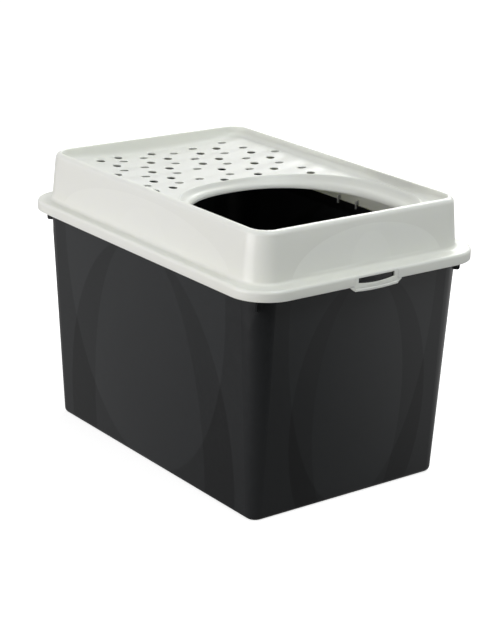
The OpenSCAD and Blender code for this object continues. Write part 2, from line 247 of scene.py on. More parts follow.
# Places of the pattern, by row and column, that have no hole.
PLAIN_PLACES = {(6, 3), (1, -1), (2, -1), (5, -1)}
# Least distance of a hole from the side walls, the back wall and the collar.
SIDE_CLEARANCE = 0.008
BACK_CLEARANCE = 0.0003
COLLAR_CLEARANCE = 0.0004

# The tread's waves: the row they start from, their period, and the edge where they fade.
WAVE_ROW = 2
WAVE_PERIOD = 2 * ROW_PITCH
WAVE_FADE = 0.022

# Punch of a drain hole: height above the tread, and radius in hole radii.
PUNCH = ((-0.02, 1.0), (-0.0005, 1.0), (0.0, 1.05), (0.004, 1.6))
PUNCH_SIDES = 40

# Stiffening bands: their rows, how far they reach into the tread and where on the collar.
BAND_ROWS = (1, 3, 5, 7, 9)
BAND_STEPS = 80
BAND_ROOT = 0.0003
BAND_START = 0.9

# Guide ribs: places along the lid, half thickness, distance from the lid's middle, heights,
# and the rounded free edge, from that distance inwards.
RIB_PLACES = (-0.0365, 0.0045)
RIB_HALF = 0.00065
RIB_REACH = 0.1714
RIB_FOOT, RIB_SHOULDER, RIB_TOP, RIB_ROOT = 0.335, 0.3408, 0.348, 0.3482
RIB_EDGE = ((0.0018, 0.3462), (0.0028, 0.345), (0.0028, 0.336), (0.0018, 0.335))

# The latch's bend line below the seat, and how far its room reaches past the skirt.
HINGE_DROP = 0.0006
ROOM_INSIDE = 0.0004
ROOM_OUTSIDE = 0.002
ROOM_BELOW = 0.001
# The window's top below the bend line, and the sill's ends above its height in sags.
WINDOW_DROP = 0.0012
SILL_RISE = 0.3
# The lip: its shoulder's depth, its height, and its rounding in latch edges.
LIP_SHOULDER = 0.001
LIP_HEIGHT = 0.0036
LIP_ROUNDING = 1.4
SAG_STEPS = 16
WELD_DISTANCE = 1e-6


def stations():
    """Places round a rounded rectangle: share of each corner centre, and the way out."""
    places = []
    corners = ((1, -1), (1, 1), (-1, 1), (-1, -1))
    for side, (corner, after) in enumerate(zip(corners, corners[1:] + corners[:1])):
        turn = side * math.pi / 2
        count = SHORT_STEPS if side % 2 else LONG_STEPS
        for step in range(count):
            share = step / count
            place = [a + (b - a) * share for a, b in zip(corner, after)]
            places.append((*place, math.cos(turn), math.sin(turn)))
        for step in range(CORNER_STEPS):
            way = turn + math.pi / 2 * step / CORNER_STEPS
            places.append((*after, math.cos(way), math.sin(way)))
    return places


STATIONS = stations()


def ring(corner, radius, height):
    """A loop of points; radius and height may be one number or one for each station."""
    radii = radius if isinstance(radius, list) else [radius] * len(STATIONS)
    heights = height if isinstance(height, list) else [height] * len(STATIONS)
    return [
        Vector((sx * corner[0] + r * nx, sy * corner[1] + r * ny, z))
        for (sx, sy, nx, ny), r, z in zip(STATIONS, radii, heights)
    ]


def loft(name, loops):
    """A closed skin over loops of points, the last loop joined to the first."""
    count = len(loops[0])
    points = [point for loop in loops for point in loop]
    faces = []
    for i in range(len(loops)):
        here, there = i * count, (i + 1) % len(loops) * count
        for j in range(count):
            k = (j + 1) % count
            faces.append((here + j, here + k, there + k, there + j))
    mesh = bpy.data.meshes.new(name)
    mesh.from_pydata(points, [], faces)
    return mesh


def turn_outward(mesh, weld=0.0):
    """Welds points that are this close and turns all normals outward."""
    skin = bmesh.new()
    skin.from_mesh(mesh)
    if weld:
        bmesh.ops.remove_doubles(skin, verts=skin.verts, dist=weld)
    bmesh.ops.recalc_face_normals(skin, faces=skin.faces)
    skin.to_mesh(mesh)
    skin.free()


def add_piece(name, mesh, material):
    """Links a mesh as a piece with outward normals."""
    turn_outward(mesh)
    if material is not None:
        mesh.materials.append(material)
    piece = bpy.data.objects.new(name, mesh)
    bpy.context.collection.objects.link(piece)
    return piece


def soften(piece):
    """Shades a piece smooth, apart from its creases."""
    piece.data.shade_smooth()
    piece.data.set_sharp_from_angle(angle=CREASE)


def smooth_line(points, steps):
    """Extra points on a smooth curve through the given ones."""
    line = []
    last = len(points) - 1
    for i in range(last):
        nearby = points[max(i - 1, 0)], points[i], points[i + 1], points[min(i + 2, last)]
        for step in range(steps):
            t = step / steps
            line.append(tuple(
                0.5 * (2 * b + (c - a) * t + (2 * a - 5 * b + 4 * c - d) * t * t
                       + (3 * b - a - 3 * c + d) * t ** 3)
                for a, b, c, d in zip(*nearby)
            ))
    line.append(points[-1])
    return line


def column_at(x):
    """The hole pattern's column, whole or not, at a place across the lid."""
    return MIDDLE_COLUMN + (x - PATTERN_RIGHT) / COLUMN_PITCH


class Lid:
    """The lid's forms, worked out from its settings"""

    def __init__(self, shape, entry):
        self.shape = shape
        self.entry = entry
        self.top = CAD_BOX[1][2]
        sizes = ((shape.rim_width, shape.rim_length), (shape.flange_width, shape.flange_length))
        self.rim = tuple(size / 2 - shape.rim_corner for size in sizes[0])
        self.flange = tuple(size / 2 - shape.flange_corner for size in sizes[1])
        self.roll_height = self.top - shape.rim_roll / 2
        self.tread_low = self.top - shape.drop
        self.skirt_bottom = shape.seat - shape.skirt

    def outer_radius(self, z):
        """Corner radius of the surround's outside at a height."""
        return self.shape.rim_corner + (self.roll_height - z) * math.tan(math.radians(OUTER_DRAFT))

    def inner_radius(self, z):
        """Corner radius of the wall inside the rim at a height."""
        drawn_in = (self.roll_height - z) * math.tan(math.radians(INNER_DRAFT))
        return self.shape.rim_corner - self.shape.rim_roll - drawn_in

    def tread_height(self, x):
        """Height of the tread's trough without its waves."""
        r = self.shape.trough
        return self.tread_low + r - math.sqrt(r * r - x * x)

    def wavy_height(self, x, y):
        """The tread's height with its waves, which fade at the walls and the collar."""
        shape = self.shape
        from_side = shape.rim_width / 2 - shape.rim_roll - abs(x)
        from_back = shape.rim_length / 2 - shape.rim_roll - y
        free = min(self.beyond_collar(x, y, 1.0), from_side, from_back)
        room = min(max(free / WAVE_FADE, 0.0), 1.0)
        along = self.row_line(WAVE_ROW, column_at(x)) - y
        wave = math.sin(math.tau * along / WAVE_PERIOD)
        return self.tread_height(x) - shape.wave * room * room * (3 - 2 * room) * wave

    def outline(self, turn, k):
        """Point of the collar in a direction; k is 0 at the lip and 1 at the collar's edge."""
        e = self.entry
        a = e.width / 2 + e.collar * k
        if math.sin(turn) > 0:
            b = e.arch + e.collar_arch * k
            n = ARCH_POWERS[0] + (ARCH_POWERS[1] - ARCH_POWERS[0]) * min(max(k, 0), 1)
        else:
            b = e.front + e.collar_front * k
            n = FRONT_POWER
        reach = (abs(math.cos(turn) / a) ** n + abs(math.sin(turn) / b) ** n) ** (-1 / n)
        return reach * math.cos(turn), reach * math.sin(turn) - e.middle

    def beyond_collar(self, x, y, k):
        """How far a point lies outside the collar's line k, from the entry's middle."""
        middle = self.entry.middle
        edge = self.outline(math.atan2(y + middle, x), k)
        return math.hypot(x, y + middle) - math.hypot(edge[0], edge[1] + middle)

    def collar_loop(self, turns, k, share, lift):
        """A loop on the collar, at a share of the way from the lip's height to the bead's."""
        loop = []
        lip = self.top - self.entry.drop
        for turn in turns:
            x, y = self.outline(turn, k)
            high = self.tread_height(x) + self.entry.bead
            loop.append(Vector((x, y, lip + (high - lip) * share + lift)))
        return loop

    def loops(self):
        """All loops of the closed skin: over the tread, rim and skirt, and back below."""
        shape, entry = self.shape, self.entry
        foot = ring(self.rim, self.inner_radius(self.tread_low), 0.0)
        turns = [math.atan2(p.y + entry.middle, p.x) for p in foot]
        coves = self.cove_sizes(foot, turns)
        wall = [self.inner_radius(self.tread_height(p.x)) for p in foot]
        end = ring(self.rim, [w - c for w, c in zip(wall, coves)], 0.0)
        deck = [self.wavy_height(p.x, p.y) for p in end]
        collar = [
            self.collar_loop(turns, k, share, rise * entry.bead)
            for k, share, rise in smooth_line(COLLAR_TOP, 3)
        ]
        # Behind the wall and under the tread, back to the collar.
        under = [z - shape.tread for z in deck]
        behind = ring(self.rim, [self.inner_radius(z) + shape.wall for z in under], under)
        last = self.collar_loop(turns, 1.0, 1.0, 0.0)
        collar_under = [
            self.collar_loop(turns, k, share, -fall * entry.thickness)
            for k, share, fall in COLLAR_UNDER
        ]
        return [
            *collar,
            *self.tread_loops(collar[-1], end, 0.0),
            *self.cove_loops(deck, coves),
            *self.rim_loops(),
            *self.flange_loops(),
            *self.skirt_loops(),
            *self.inside_loops(),
            behind,
            *self.tread_loops(behind, last, shape.tread),
            *collar_under,
        ]

    def cove_sizes(self, foot, turns):
        """Radius of the cove at each station, smaller where the collar is near."""
        edge = [Vector((*self.outline(turn, COLLAR_TOP[-1][0]), 0.0)) for turn in turns]
        gaps = [min((p - q).length for q in edge) for p in foot]
        coves = [min(self.shape.cove, COVE_SHARE * gap) for gap in gaps]
        for _ in range(COVE_SMOOTHING):
            before, after = coves[-1:] + coves[:-1], coves[1:] + coves[:1]
            coves = [(a + 2 * b + c) / 4 for a, b, c in zip(before, coves, after)]
        return coves

    def tread_loops(self, start, end, lower):
        """Along the tread from one line to another, at a depth below its top."""
        for step in range(1, TREAD_STEPS + 1):
            loop = [
                Vector((*(p + (q - p) * step / TREAD_STEPS for p, q in zip(a.xy, b.xy)), 0.0))
                for a, b in zip(start, end)
            ]
            for point in loop:
                point.z = self.wavy_height(point.x, point.y) - lower
            yield loop

    def cove_loops(self, deck, coves):
        """Up the cove and the wall inside the rim."""
        for step in range(1, COVE_STEPS + 1):
            turn = math.radians(COVE_TURN) * step / COVE_STEPS
            rise, inset = 1 - math.cos(turn), 1 - math.sin(turn)
            heights = [d + c * rise for d, c in zip(deck, coves)]
            radii = [self.inner_radius(z) - c * inset for z, c in zip(heights, coves)]
            yield ring(self.rim, radii, heights)
        for share in (0.65, 0.85):
            heights = [d + (self.roll_height - d) * share for d in deck]
            yield ring(self.rim, [self.inner_radius(z) for z in heights], heights)

    def rim_loops(self):
        """Over the rim, which is rounded little inside and more outside."""
        shape = self.shape
        crest = shape.rim_corner - shape.rim_roll + shape.rim_inside
        for step in range(RIM_STEPS + 1):
            turn = math.pi * (1 - step / RIM_STEPS)
            inside = step < RIM_STEPS / 2
            reach = shape.rim_inside if inside else shape.rim_roll - shape.rim_inside
            height = self.top - reach * (1 - math.sin(turn))
            yield ring(self.rim, crest + reach * math.cos(turn), height)

    def flange_loops(self):
        """Down the outside, round the fillet and over the flange's edge."""
        shape = self.shape
        top = shape.seat + shape.flange_thickness
        fillet_height = top + shape.fillet
        for share in (0.1, 0.3, 0.5, 0.7, 0.9, 1.0):
            z = self.roll_height + (fillet_height - self.roll_height) * share
            yield ring(self.rim, self.outer_radius(z), z)
        out = self.outer_radius(fillet_height) + shape.fillet
        for step in range(1, FILLET_STEPS + 1):
            turn = math.radians(180 + (90 - OUTER_DRAFT) * step / FILLET_STEPS)
            height = fillet_height + shape.fillet * math.sin(turn)
            yield ring(self.rim, out + shape.fillet * math.cos(turn), height)
        edge_middle = shape.flange_corner - shape.flange_edge
        yield ring(self.flange, edge_middle - FLANGE_STRIP, top)
        for step in range(EDGE_STEPS + 1):
            turn = math.pi / 2 * (1 - step / EDGE_STEPS)
            height = top - shape.flange_edge + shape.flange_edge * math.sin(turn)
            yield ring(self.flange, edge_middle + shape.flange_edge * math.cos(turn), height)

    def skirt_loops(self):
        """Down the skirt, round its lower edge and back up inside."""
        soft = SKIRT_ROUNDING
        outside = self.shape.flange_corner
        inside = outside - self.shape.flange_thickness
        for turn in map(math.radians, (0, 30, 60, 90)):
            height = self.skirt_bottom + soft - soft * math.sin(turn)
            yield ring(self.flange, outside - soft + soft * math.cos(turn), height)
        for turn in map(math.radians, (90, 45, 0)):
            height = self.skirt_bottom + soft - soft * math.sin(turn)
            yield ring(self.flange, inside + soft - soft * math.cos(turn), height)
        yield ring(self.flange, inside, self.shape.seat)

    def inside_loops(self):
        """Under the flange, up inside the surround and round below the rim."""
        shape = self.shape
        yield ring(self.rim, self.outer_radius(shape.seat) - shape.wall, shape.seat)
        middle = shape.rim_corner - shape.rim_roll / 2
        reach = shape.rim_roll / 2 - shape.wall
        for step in range(EDGE_STEPS + 1):
            turn = math.pi * step / EDGE_STEPS
            height = self.roll_height + reach * math.sin(turn)
            yield ring(self.rim, middle + reach * math.cos(turn), height)

    def holes(self):
        """Middles of the drain holes, row by row: two columns of every three hold one."""
        shape = self.shape
        margin = shape.hole / 2
        side_end = shape.rim_width / 2 - shape.rim_roll - SIDE_CLEARANCE - margin
        back_end = self.rim[1] + self.inner_radius(self.tread_low) - margin - BACK_CLEARANCE
        arch = [Vector(self.outline(math.radians(1.5 * i), 1.0)) for i in range(121)]
        found = []
        for row in range(HOLE_ROWS):
            for column in HOLE_COLUMNS:
                phase = (column - row) % 3
                if phase == 2 or (row, column) in PLAIN_PLACES:
                    continue
                side = -1 if phase == 0 else 1
                straight = PATTERN_RIGHT + COLUMN_PITCH * (column - MIDDLE_COLUMN)
                x = straight + side * SPREADS[row % 2]
                y = self.row_line(row, column) + side * STAGGER
                if abs(x) > side_end or self.beyond_collar(x, y, 1.0) < 0:
                    continue
                if y > back_end or y < -self.entry.middle:
                    continue
                if min((Vector((x, y)) - q).length for q in arch) > margin + COLLAR_CLEARANCE:
                    found.append((x, y))
        return found

    def row_line(self, row, column):
        """Place along the lid at which a slanted row of holes crosses a column."""
        back = BACK_ROW + (SECOND_ROW + ROW_PITCH * (row - 1) if row else 0.0)
        return self.shape.rim_length / 2 - back + ROW_SLANT * (column - MIDDLE_COLUMN)


def finished(skin, name):
    """A new mesh from a skin, which is let go."""
    mesh = bpy.data.meshes.new(name)
    skin.to_mesh(mesh)
    skin.free()
    return mesh


def round_cutter(points, radius, height_at):
    """One mesh of round punches, each flared where it meets the tread."""
    skin = bmesh.new()
    turns = [math.tau * i / PUNCH_SIDES for i in range(PUNCH_SIDES)]
    for x, y in points:
        loops = []
        for lift, grow in PUNCH:
            z = height_at(x, y) + lift
            reach = radius * grow
            loops.append([
                skin.verts.new((x + reach * math.cos(turn), y + reach * math.sin(turn), z))
                for turn in turns
            ])
        for low, high in zip(loops, loops[1:]):
            for i in range(PUNCH_SIDES):
                j = (i + 1) % PUNCH_SIDES
                skin.faces.new((low[i], low[j], high[j], high[i]))
        skin.faces.new(list(reversed(loops[0])))
        skin.faces.new(loops[-1])
    return finished(skin, "punches")


def block_mesh(low, high):
    """A block between two corners."""
    points = list(itertools.product(*zip(low, high)))
    faces = [(0, 1, 3, 2), (4, 6, 7, 5), (0, 4, 5, 1), (2, 3, 7, 6), (0, 2, 6, 4), (1, 5, 7, 3)]
    mesh = bpy.data.meshes.new("block")
    mesh.from_pydata(points, [], faces)
    return mesh


def cut(piece, cutter_mesh):
    """Cuts the cutter out of a piece and drops the cutter."""
    cutter = add_piece("cutter", cutter_mesh, None)
    modifier = piece.modifiers.new("cut", "BOOLEAN")
    modifier.operation = "DIFFERENCE"
    modifier.solver = "EXACT"
    modifier.object = cutter
    graph = bpy.context.evaluated_depsgraph_get()
    result = bpy.data.meshes.new_from_object(piece.evaluated_get(graph))
    piece.modifiers.clear()
    old, piece.data = piece.data, result
    result.name = old.name + "_cut"
    bpy.data.objects.remove(cutter)
    bpy.data.meshes.remove(old)
    bpy.data.meshes.remove(cutter_mesh)


def band_mesh(lid, row):
    """A stiffening band below one row of holes, outside the collar."""
    shape = lid.shape
    skin = bmesh.new()
    half = shape.band_width / 2
    reach = lid.rim[0] + lid.inner_radius(lid.tread_low)
    previous = None
    for step in range(BAND_STEPS + 1):
        x = -reach + 2 * reach * step / BAND_STEPS
        y = lid.row_line(row, column_at(x))
        near, far = y - half, y + half
        if min(lid.beyond_collar(x, edge, BAND_START) for edge in (near, far)) <= 0:
            previous = None
            continue
        section = ((near, BAND_ROOT), (near, -shape.band), (far, -shape.band), (far, BAND_ROOT))
        loop = [
            skin.verts.new((x, edge, lid.wavy_height(x, edge) - shape.tread + lift))
            for edge, lift in section
        ]
        if previous is None:
            skin.faces.new(loop)
        else:
            for i in range(4):
                j = (i + 1) % 4
                skin.faces.new((previous[i], previous[j], loop[j], loop[i]))
        previous = loop
    boundary = [edge for edge in skin.edges if edge.is_boundary]
    bmesh.ops.holes_fill(skin, edges=boundary, sides=4)
    return finished(skin, "band")


def rib_mesh(lid, y, side):
    """A thin guide rib inside the surround, with the corners of its free edge rounded."""
    wall = lid.rim[0] + lid.outer_radius(RIB_ROOT) - lid.shape.wall
    section = [
        (RIB_REACH, RIB_FOOT), (RIB_REACH, RIB_SHOULDER), (wall, RIB_SHOULDER), (wall, RIB_TOP),
        *((RIB_REACH - inward, z) for inward, z in RIB_EDGE),
    ]
    skin = bmesh.new()
    near = [skin.verts.new((side * out, y - RIB_HALF, z)) for out, z in section]
    far = [skin.verts.new((side * out, y + RIB_HALF, z)) for out, z in section]
    skin.faces.new(near)
    skin.faces.new(list(reversed(far)))
    for i in range(len(section)):
        j = (i + 1) % len(section)
        skin.faces.new((near[j], near[i], far[i], far[j]))
    return finished(skin, "rib")


def join(piece, meshes):
    """Adds more meshes to a piece, as parts of the same moulding."""
    skin = bmesh.new()
    skin.from_mesh(piece.data)
    for mesh in meshes:
        skin.from_mesh(mesh)
        bpy.data.meshes.remove(mesh)
    skin.to_mesh(piece.data)
    skin.free()


def make_lid(shape, entry, latch, material):
    """The lid: its skin, drain holes, rooms for the latches, bands and guide ribs."""
    lid = Lid(shape, entry)
    piece = add_piece("lid_moulding", loft("lid_moulding", lid.loops()), material)
    holes = lid.holes()
    radius = shape.hole / 2
    cut(piece, round_cutter(holes, radius, lid.wavy_height))
    half = latch.window / 2 + latch.arm + latch.gap
    room_top = shape.seat - HINGE_DROP + latch.hinge_gap
    inner = shape.flange_length / 2 - shape.flange_thickness - ROOM_INSIDE
    outer = shape.flange_length / 2 + ROOM_OUTSIDE
    for side in (-1, 1):
        near, far = sorted((side * inner, side * outer))
        low = (-half, near, lid.skirt_bottom - ROOM_BELOW)
        cut(piece, block_mesh(low, (half, far, room_top)))
    extras = []
    for row in BAND_ROWS:
        band = add_piece("band", band_mesh(lid, row), None)
        cut(band, round_cutter(holes, radius, lid.wavy_height))
        extras.append(band.data)
        bpy.data.objects.remove(band)
    extras += [rib_mesh(lid, y, side) for side in (-1, 1) for y in RIB_PLACES]
    join(piece, extras)
    soften(piece)
    return piece


def sagged(width, z, sag):
    """Points from left to right along a line that sags in its middle."""
    return [
        (width * i / (2 * SAG_STEPS), z - sag * (1 - i * i / SAG_STEPS ** 2))
        for i in range(-SAG_STEPS, SAG_STEPS + 1)
    ]


def plate_mesh(name, outlines, thickness, edge):
    """A plate with rounded edges from closed outlines, the inner ones being windows."""
    curve = bpy.data.curves.new(name, "CURVE")
    curve.dimensions = "2D"
    curve.fill_mode = "BOTH"
    curve.extrude = thickness / 2 - edge
    curve.bevel_depth = edge
    curve.bevel_resolution = 3
    curve.offset = -edge
    for outline in outlines:
        spline = curve.splines.new("POLY")
        spline.points.add(len(outline) - 1)
        for point, (x, z) in zip(spline.points, outline):
            point.co = (x, z, 0.0, 1.0)
        spline.use_cyclic_u = True
    holder = bpy.data.objects.new(name, curve)
    bpy.context.collection.objects.link(holder)
    graph = bpy.context.evaluated_depsgraph_get()
    mesh = bpy.data.meshes.new_from_object(holder.evaluated_get(graph))
    bpy.data.objects.remove(holder)
    bpy.data.curves.remove(curve)
    return mesh


def make_latch(name, side, shape, latch, material):
    """A latch: arms and bar round a window, and the finger lip on its lower edge."""
    hinge = shape.seat - HINGE_DROP
    bottom = shape.seat - shape.skirt
    wing = bottom - latch.gap
    shoulder = wing - LIP_SHOULDER
    half = latch.window / 2 + latch.arm
    lip_half = latch.lip / 2
    low = bottom - latch.lip_drop + latch.lip_sag
    edge_line = sagged(latch.lip - 2 * latch.slope, low, latch.lip_sag)
    outer = [
        (-half, hinge), (-half, wing), (-lip_half, wing), (-lip_half, shoulder), *edge_line,
        (lip_half, shoulder), (lip_half, wing), (half, wing), (half, hinge),
    ]
    sill = sagged(latch.window, hinge - latch.window_height + SILL_RISE * latch.sag, latch.sag)
    window_top = hinge - WINDOW_DROP
    inner = [*sill, (latch.window / 2, window_top), (-latch.window / 2, window_top)]
    plate = plate_mesh(name, [outer, inner], shape.flange_thickness, latch.edge)
    lip_top = [(x, z + LIP_HEIGHT) for x, z in reversed(edge_line)]
    lip = plate_mesh(name, [edge_line + lip_top], latch.lip_out * 2, latch.edge * LIP_ROUNDING)
    outside = shape.flange_length / 2
    middle = outside - shape.flange_thickness / 2
    for mesh, reach in ((plate, middle), (lip, outside)):
        for vertex in mesh.vertices:
            x, z, out = vertex.co
            vertex.co = (x, side * (reach + out), z)
    piece = add_piece(name + "_moulding", plate, material)
    join(piece, [lip])
    turn_outward(piece.data, WELD_DISTANCE)
    soften(piece)
    return piece


# ---------- materials


class Graph:
    """Short spellings for the nodes of one material"""

    def __init__(self, name):
        self.material = bpy.data.materials.new(name)
        self.material.use_nodes = True
        self.tree = self.material.node_tree
        self.tree.nodes.clear()
        self.shader = self.add("ShaderNodeBsdfPrincipled")
        output = self.add("ShaderNodeOutputMaterial")
        self.link(self.shader.outputs["BSDF"], output.inputs["Surface"])
        self.place = self.add("ShaderNodeTexCoord")

    def add(self, kind, **values):
        node = self.tree.nodes.new(kind)
        for key, value in values.items():
            setattr(node, key, value)
        return node

    def link(self, source, target):
        self.tree.links.new(source, target)

    def fill(self, socket, value):
        """Links a socket to an output, or sets it to a number."""
        if isinstance(value, bpy.types.NodeSocket):
            self.link(value, socket)
        else:
            socket.default_value = value

    def math(self, operation, a, b=0.0):
        """One step of arithmetic."""
        node = self.add("ShaderNodeMath", operation=operation)
        self.fill(node.inputs[0], a)
        self.fill(node.inputs[1], b)
        return node.outputs["Value"]

    def pairs(self, a, b, c, d):
        """a times b, plus c times d."""
        return self.math("ADD", self.math("MULTIPLY", a, b), self.math("MULTIPLY", c, d))

    def axes(self, coordinates):
        """The X, Y and Z outputs of one kind of texture coordinates."""
        node = self.add("ShaderNodeSeparateXYZ")
        self.link(self.place.outputs[coordinates], node.inputs[0])
        return node.outputs

    def noise(self, scale, detail=2.0, roughness=0.5):
        """Soft noise in the object's own space."""
        node = self.add("ShaderNodeTexNoise")
        node.inputs["Scale"].default_value = scale
        node.inputs["Detail"].default_value = detail
        node.inputs["Roughness"].default_value = roughness
        self.link(self.place.outputs["Object"], node.inputs["Vector"])
        return node.outputs["Fac"]

    def ramp(self, value, low, high, to_low=0.0, to_high=1.0):
        """A smooth step from one value to another."""
        node = self.add("ShaderNodeMapRange", interpolation_type="SMOOTHSTEP")
        self.fill(node.inputs["Value"], value)
        node.inputs["From Min"].default_value = low
        node.inputs["From Max"].default_value = high
        node.inputs["To Min"].default_value = to_low
        node.inputs["To Max"].default_value = to_high
        return node.outputs["Result"]

    def mix(self, share, a, b):
        """A colour between two others."""
        node = self.add("ShaderNodeMix", data_type="RGBA")
        self.fill(node.inputs["Factor"], share)
        for socket, tint in ((node.inputs["A"], a), (node.inputs["B"], b)):
            self.fill(socket, tint if isinstance(tint, bpy.types.NodeSocket) else (*tint, 1.0))
        return node.outputs["Result"]

    def ellipse(self, along, up, centre, radii):
        """Squared distance from the middle of an ellipse, 1 on its edge."""
        across = self.math("DIVIDE", self.math("SUBTRACT", along, centre[0]), radii[0])
        height = self.math("DIVIDE", self.math("SUBTRACT", up, centre[1]), radii[1])
        return self.pairs(across, across, height, height)

    def plastic(self, tint, gloss, height):
        """Links a moulded plastic's colour, gloss and surface height in metres."""
        bump = self.add("ShaderNodeBump")
        bump.inputs["Distance"].default_value = 1.0
        bump.inputs["Strength"].default_value = PANEL_BUMP
        self.link(height, bump.inputs["Height"])
        self.link(bump.outputs["Normal"], self.shader.inputs["Normal"])
        self.link(tint, self.shader.inputs["Base Color"])
        self.link(gloss, self.shader.inputs["Roughness"])
        self.shader.inputs["IOR"].default_value = PLASTIC_IOR


PLASTIC_IOR = 1.5
PANEL_BUMP = 0.8

# Middle and half-axes of the ellipses moulded into the tub's walls: (along, up), (along, up).
END_PANELS = (
    ((0.003, 0.300), (0.125, 0.312)),
    ((0.008, 0.120), (0.117, 0.205)),
    ((0.007, 0.130), (0.077, 0.190)),
)
SIDE_PANELS = (
    ((0.003, 0.300), (0.197, 0.305)),
    ((0.001, 0.030), (0.205, 0.300)),
    ((0.003, 0.030), (0.138, 0.305)),
)
# How much of the pale tone each ellipse adds, outermost first, and the wall's own tone. The
# ellipses are moulded in, but these steps of tone are painted shading and sheen of their tilted
# panels.
PANEL_TONES = (0.33, -0.37, 0.29)
WALL_TONE = 0.48
# How far a cloudy tone strays, and the heights below the shelf where all tones fade out: the
# pattern ends there, and the catch in its window is left at the darkest colour as painted shade.
CLOUD_TONE = 0.04
CATCH_SHADE_FADE = (0.3230, 0.3225)
# How much the roughness strays to both sides, and how much a full tone changes it.
TUB_RUB = (-0.015, 0.02)
TUB_TONE_GLOSS = 0.03

# The arch and the narrow arch inside it on the lid's walls, and the tone that each adds, which is
# painted sheen of their satin finish.
END_ARCHES = (((0.003, 0.328), (0.128, 0.064)), ((0.008, 0.325), (0.037, 0.057)))
SIDE_ARCHES = (((0.0, 0.328), (0.205, 0.062)), ((0.0, 0.325), (0.060, 0.052)))
ARCH_TONES = (0.8, 0.2)
# The arches start at these heights, and are this much weaker on the sides.
ARCH_FOOT = (0.338, 0.343)
SIDE_ARCH_TONE = 0.4
LID_RUB = (-0.01, 0.02)
LID_TONE_GLOSS = 0.045
FLOW_SHARE = 0.5
SUBSURFACE_WEIGHT = 0.35
SUBSURFACE_RADIUS = (0.006, 0.006, 0.005)


def wall_pattern(graph, end_panels, side_panels, tones, crown):
    """Tone and crown height of moulded ellipses, one set on the ends and one on the sides."""
    x, y, z = graph.axes("Object")
    facing = graph.axes("Normal")
    across, along = (graph.math("ABSOLUTE", facing[axis]) for axis in "XY")
    on_end = graph.math("GREATER_THAN", along, across)
    on_side = graph.math("SUBTRACT", 1.0, on_end)
    tone, height = 0.0, 0.0
    for end, side, step in zip(end_panels, side_panels, tones):
        reach = graph.pairs(graph.ellipse(x, z, *end), on_end, graph.ellipse(y, z, *side), on_side)
        inside = graph.ramp(reach, 1.012, 0.988)
        tone = graph.math("ADD", graph.math("MULTIPLY", inside, step), tone)
        depth = graph.math("MAXIMUM", graph.math("SUBTRACT", 1.0, reach), 0.0)
        height = graph.math("SUBTRACT", graph.math("MULTIPLY", depth, crown), height)
    return tone, height


def tub_plastic(settings):
    """Anthracite plastic with three ellipses of other gloss and tone in each wall; the tones are
    painted shading and sheen.
    """
    graph = Graph("anthracite_plastic")
    tone, height = wall_pattern(graph, END_PANELS, SIDE_PANELS, PANEL_TONES, settings.crown)
    cloud = graph.ramp(graph.noise(4.0, 3.0), 0.35, 0.65, -CLOUD_TONE, CLOUD_TONE)
    tone = graph.math("ADD", graph.math("ADD", tone, WALL_TONE), cloud)
    # Painted shade: above these heights the catch is left at the darkest colour.
    tone = graph.math("MULTIPLY", tone, graph.ramp(graph.axes("Object")["Z"], *CATCH_SHADE_FADE))
    share = graph.math("MINIMUM", graph.math("MAXIMUM", tone, 0.0), 1.0)
    # The wall mixed towards the pale tone, which is painted shading and sheen.
    tint = graph.mix(share, settings.colour, settings.panel_shade_and_sheen)
    rub = [settings.roughness + change for change in TUB_RUB]
    gloss = graph.ramp(graph.noise(60.0, 5.0, 0.6), 0.3, 0.7, *rub)
    gloss = graph.math("SUBTRACT", gloss, graph.math("MULTIPLY", tone, TUB_TONE_GLOSS))
    graph.plastic(tint, gloss, height)
    return graph.material


def lid_plastic(settings):
    """Off-white, slightly clear plastic with paler satin arches on its outward walls; the paler
    tone is painted sheen.
    """
    graph = Graph("off_white_plastic")
    tone, height = wall_pattern(graph, END_ARCHES, SIDE_ARCHES, ARCH_TONES, settings.crown)
    flow = graph.math("MULTIPLY", graph.ramp(graph.noise(2.2, 1.5), 0.3, 0.75), FLOW_SHARE)
    x, y, z = graph.axes("Object")
    facing = graph.axes("Normal")
    outward = graph.pairs(x, facing["X"], y, facing["Y"])
    on_wall = graph.math("MULTIPLY", graph.ramp(outward, 0.05, 0.10), graph.ramp(z, *ARCH_FOOT))
    by_side = graph.ramp(graph.math("ABSOLUTE", facing["Y"]), 0.3, 0.9, SIDE_ARCH_TONE, 1.0)
    on_wall = graph.math("MULTIPLY", on_wall, by_side)
    tone = graph.math("MULTIPLY", tone, on_wall)
    height = graph.math("MULTIPLY", height, on_wall)
    # Arches mixed towards the paler colour, which is painted sheen.
    tint = graph.mix(tone, graph.mix(flow, settings.colour, settings.shade), settings.arch)
    rub = [settings.roughness + change for change in LID_RUB]
    gloss = graph.ramp(graph.noise(30.0), 0.3, 0.7, *rub)
    gloss = graph.math("ADD", gloss, graph.math("MULTIPLY", tone, LID_TONE_GLOSS))
    graph.plastic(tint, gloss, height)
    graph.shader.inputs["Subsurface Weight"].default_value = SUBSURFACE_WEIGHT
    graph.shader.inputs["Subsurface Radius"].default_value = SUBSURFACE_RADIUS
    graph.shader.inputs["Subsurface Scale"].default_value = 1.0
    return graph.material


def dress(node, material):
    """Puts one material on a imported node."""
    slots = node.material_slots
    if not slots:
        node.data.materials.append(material)
    for slot in slots:
        slot.material = material


# ---------- stage

FLOOR_HALF = 6.0
WHITE = (1.0, 1.0, 1.0, 1.0)
# The floor's own greys, and what the camera sees of it near the box and far from it.
PAPER = ((0.47, 0.47, 0.47), (0.49, 0.49, 0.49))
SEEN_NEAR, SEEN_FAR = (0.30, 0.80), (0.75, 1.0)
